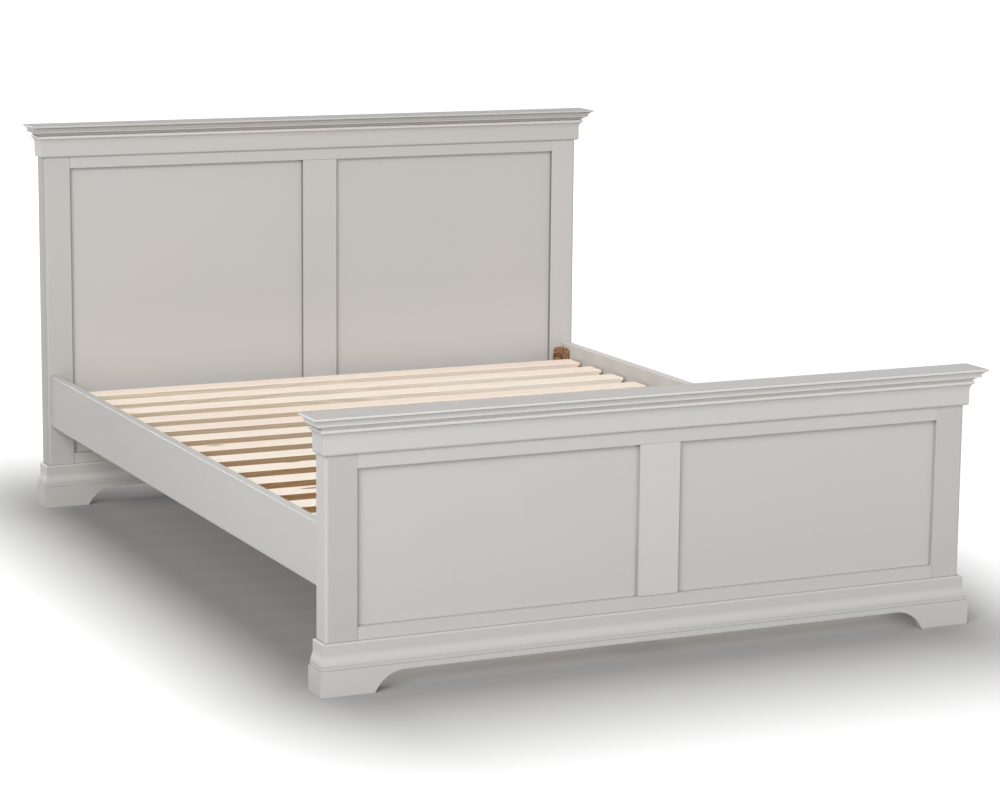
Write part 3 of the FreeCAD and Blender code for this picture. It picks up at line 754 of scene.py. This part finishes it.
def screw_head(radius, height, dome, recess):
    """The mesh of a round head with a cross recess: its seat at the origin, its top up."""
    head = bmesh.new()
    bmesh.ops.create_circle(head, cap_ends=True, segments=HEAD_SIDES, radius=radius)
    for axis in (Vector((1, 0, 0)), Vector((0, 1, 0))):
        for step in (-RECESS_REACH, -RECESS_HALF, RECESS_HALF, RECESS_REACH):
            disc = [*head.verts, *head.edges, *head.faces]
            bmesh.ops.bisect_plane(head, geom=disc, plane_co=axis * step, plane_no=axis)
    sunk = [face for face in head.faces if in_recess(face)]
    rim = [edge for edge in head.edges if edge.is_boundary]
    brink = [edge for edge in head.edges if sum(face in sunk for face in edge.link_faces) == 1]
    skirt, pit = twins(head, rim), twins(head, sunk)
    add_walls(head, rim, skirt)
    add_walls(head, brink, pit)
    for face in sunk:
        head.faces.new([pit[vert] for vert in face.verts])
    bmesh.ops.delete(head, geom=sunk, context="FACES")
    seats, floors = set(skirt.values()), set(pit.values())
    for vert in head.verts:
        out = vert.co.xy.length / radius
        lift = height - dome * out * out
        if vert in floors:
            lift -= recess
        vert.co.z = 0 if vert in seats else lift
    mesh = bpy.data.meshes.new("screw_head")
    head.to_mesh(mesh)
    head.free()
    return mesh


def screws(name, places, head, material):
    """One piece of many screw heads: each place is a point and the way that the head looks."""
    one = screw_head(**head)
    bed = bmesh.new()
    for point, outward in places:
        made = len(bed.verts)
        bed.from_mesh(one)
        bed.verts.ensure_lookup_table()
        turn = Vector(outward).to_track_quat("Z", "Y").to_matrix().to_4x4()
        placing = Matrix.Translation(Vector(point)) @ turn
        bmesh.ops.transform(bed, matrix=placing, verts=bed.verts[made:])
    bpy.data.meshes.remove(one)
    bmesh.ops.recalc_face_normals(bed, faces=bed.faces)
    mesh = bpy.data.meshes.new(name)
    bed.to_mesh(mesh)
    bed.free()
    piece = bpy.data.objects.new(name, mesh)
    bpy.context.scene.collection.objects.link(piece)
    mesh.materials.append(material)
    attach(piece, "frame")


def bracket_screws(material):
    """Three screws through the rail arm of each corner bracket."""
    low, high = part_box("corner_brackets")
    middle = (low.z + high.z) / 2
    places = []
    for side, wall in ((-1, low.x), (1, high.x)):
        for turn, post in ((1, low.y), (-1, high.y)):
            for away, rise in BRACKET_SCREWS:
                point = (wall - side * BRACKET_THICK, post + turn * away, middle + rise)
                places.append((point, (-side, 0, 0)))
    screws("bracket_screws", places, PAN_HEAD, material)


def hanger_screws(material):
    """Two screws through each flange of the centre rail's hangers, into the mullions."""
    low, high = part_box("centre_rail_hangers")
    places = []
    for post, turn in ((low.y, 1), (high.y, -1)):
        for across in (low.x + HANGER_SCREW_EDGE, high.x - HANGER_SCREW_EDGE):
            for up in (low.z + HANGER_SCREW_RISE, high.z - HANGER_SCREW_RISE):
                places.append(((across, post + turn * HANGER_THICK, up), (0, turn, 0)))
    screws("hanger_screws", places, PAN_HEAD, material)


def ledger_screws(material):
    """Flush screws along the inner face of each ledger."""
    places = []
    for node, inward in (("slat_ledger_left", 1), ("slat_ledger_right", -1)):
        low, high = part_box(node)
        face = high.x if inward > 0 else low.x
        step = (high.y - low.y) / LEDGER_SCREW_COUNT
        for number in range(LEDGER_SCREW_COUNT):
            along = low.y + (number + 0.5) * step
            places.append(((face, along, (low.z + high.z) / 2), (inward, 0, 0)))
    screws("ledger_screws", places, FLUSH_HEAD, material)


def leg_screws(material):
    """One flush screw through each tine of the leg, into the centre rail."""
    low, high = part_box("centre_leg")
    along = (low.y + high.y) / 2
    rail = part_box("centre_rail")[0].z
    left = ((low.x, along, rail + LEG_SCREW_RISES[0]), (-1, 0, 0))
    right = ((high.x, along, rail + LEG_SCREW_RISES[1]), (1, 0, 0))
    screws("leg_screws", [left, right], FLUSH_HEAD, material)


# Floor

FLOOR_HALF = 40
FLOOR_UNIFORM = {"Roughness": 0.9, "Specular IOR Level": 0.0, "Emission Strength": 1.0}
FLOOR_WHITE = (0.70, 0.70, 0.70)
FLOOR_GLOW = (0.48, 0.80)
GLOW_SPAN = (2.5, 8)

# Painted shadow on the floor: half the width and half the length at which each darker patch begins
# and ends to fade.
FLOOR_SHADED = (0.290, 0.286, 0.282)
SHADE_PATCH = ((0.70, 1.32), (0.92, 2.05))
FLOOR_CORE = (0.36, 0.352, 0.344)
CORE_PATCH = ((0.50, 0.72), (0.85, 1.05))

# Painted light: a lighter strip under the footboard, against the shade that falls there.
FLOOR_CONTACT = (0.90, 0.885, 0.87)
CONTACT_AHEAD = (-1.12, -0.90)
CONTACT_BEHIND = (-0.90, -0.76)
CONTACT_ACROSS = (0.64, 0.80)


def floor_finish():
    """White with a painted shadow under and around the bed and a strip of painted light under the
    footboard, and glows away from the bed.
    """
    white = Finish("floor_white", FLOOR_UNIFORM)
    _, (across, along, _) = white.place()
    aside, ahead = across.math("ABSOLUTE"), along.math("ABSOLUTE")
    # Painted shadow: darker patches under and around the bed, with a lighter core.
    under, core = [
        white.falling(aside, across_span) * white.falling(ahead, along_span)
        for across_span, along_span in (SHADE_PATCH, CORE_PATCH)
    ]
    # Painted light in a strip under the footboard.
    contact = white.rising(along, CONTACT_AHEAD) * white.falling(along, CONTACT_BEHIND)
    contact = contact * white.falling(aside, CONTACT_ACROSS)
    shade = white.blend(core, FLOOR_SHADED, FLOOR_CORE)
    tone = white.blend(under, FLOOR_WHITE, shade)
    # The glow, seen only directly, keeps the floor white away from the bed, and fades under the
    # painted shadow.
    far = (across * across + along * along).math("SQRT")
    glow = (1.0 - under) * white.seen_directly() * white.ranged(far, GLOW_SPAN, FLOOR_GLOW)
    white.vary({
        "Base Color": white.blend(contact, tone, FLOOR_CONTACT),
        "Emission Color": white.blend(glow, (0, 0, 0), (1, 1, 1)),
    })
    return white.material


def build_floor():
    """A wide flat floor that stages the bed."""
    bed = bmesh.new()
    bmesh.ops.create_grid(bed, x_segments=1, y_segments=1, size=FLOOR_HALF)
    mesh = bpy.data.meshes.new("floor")
    bed.to_mesh(mesh)
    bed.free()
    mesh.materials.append(floor_finish())
    floor = bpy.data.objects.new("floor", mesh)
    bpy.context.scene.collection.objects.link(floor)


# Light

WORLD_LEVEL = 0.35
LAMP_AIM = Vector((0.0, 0.0, 0.4))
LAMPS = {
    "key": {"power": 1770, "size": 8.0, "place": (-9.6, -10.2, 8.1)},
    "top": {"power": 400, "size": 6.0, "place": (0.0, 0.0, 12.0)},
    "front": {"power": 78, "size": 2.5, "place": (3.0, -8.5, 1.6)},
    "back": {"power": 280, "size": 3.0, "place": (-2.0, 11.0, 3.2)},
}


def build_surround():
    """A plain white background, which lights the bed less than it shows."""
    world = bpy.data.worlds.new("studio")
    bpy.context.scene.world = world
    world.use_nodes = True
    surround = Nodes(world.node_tree)
    sky = world.node_tree.nodes["Background"]
    surround.feed(sky.inputs["Color"], (1, 1, 1, 1))
    level = surround.ranged(surround.seen_directly(), (0.0, 1.0), (WORLD_LEVEL, 1.0))
    surround.feed(sky.inputs["Strength"], level)


def build_lamp(name, power, size, place):
    """A square soft lamp that faces the bed."""
    light = bpy.data.lights.new(name, "AREA")
    light.energy = power
    light.size = size
    lamp = bpy.data.objects.new(name, light)
    lamp.location = place
    lamp.rotation_mode = "QUATERNION"
    lamp.rotation_quaternion = (LAMP_AIM - lamp.location).to_track_quat("-Z", "Y")
    bpy.context.scene.collection.objects.link(lamp)


# Camera

CAMERA_PLACE = Vector((-3.110, -6.8285, 1.782))
CAMERA_TURN = math.radians(25.11)
CAMERA_DIP = math.radians(10.28)
CAMERA_ROLL = math.radians(0.54)
CAMERA_LENS = 106.99


def build_camera():
    """The photograph's view: turned to the right, dipped and very slightly rolled."""
    turn, dip, roll = CAMERA_TURN, CAMERA_DIP, CAMERA_ROLL
    ahead = Vector((math.sin(turn) * math.cos(dip), math.cos(turn) * math.cos(dip), -math.sin(dip)))
    level = Vector((math.cos(turn), -math.sin(turn), 0))
    above = level.cross(ahead)
    right = level * math.cos(roll) + above * math.sin(roll)
    up = above * math.cos(roll) - level * math.sin(roll)
    lens = bpy.data.cameras.new("camera")
    lens.lens = CAMERA_LENS
    camera = bpy.data.objects.new("camera", lens)
    turned = Matrix((right, up, -ahead)).transposed().to_4x4()
    camera.matrix_world = Matrix.Translation(CAMERA_PLACE) @ turned
    bpy.context.scene.collection.objects.link(camera)
    bpy.context.scene.camera = camera


fastener_steel = plated_steel()
dress_boards()
dress_hardware(fastener_steel)
bracket_screws(fastener_steel)
hanger_screws(fastener_steel)
ledger_screws(fastener_steel)
leg_screws(fastener_steel)
build_floor()
build_surround()
for lamp_name, lamp_values in LAMPS.items():
    build_lamp(lamp_name, **lamp_values)
build_camera()
bpy.context.scene.view_settings.view_transform = "Standard"
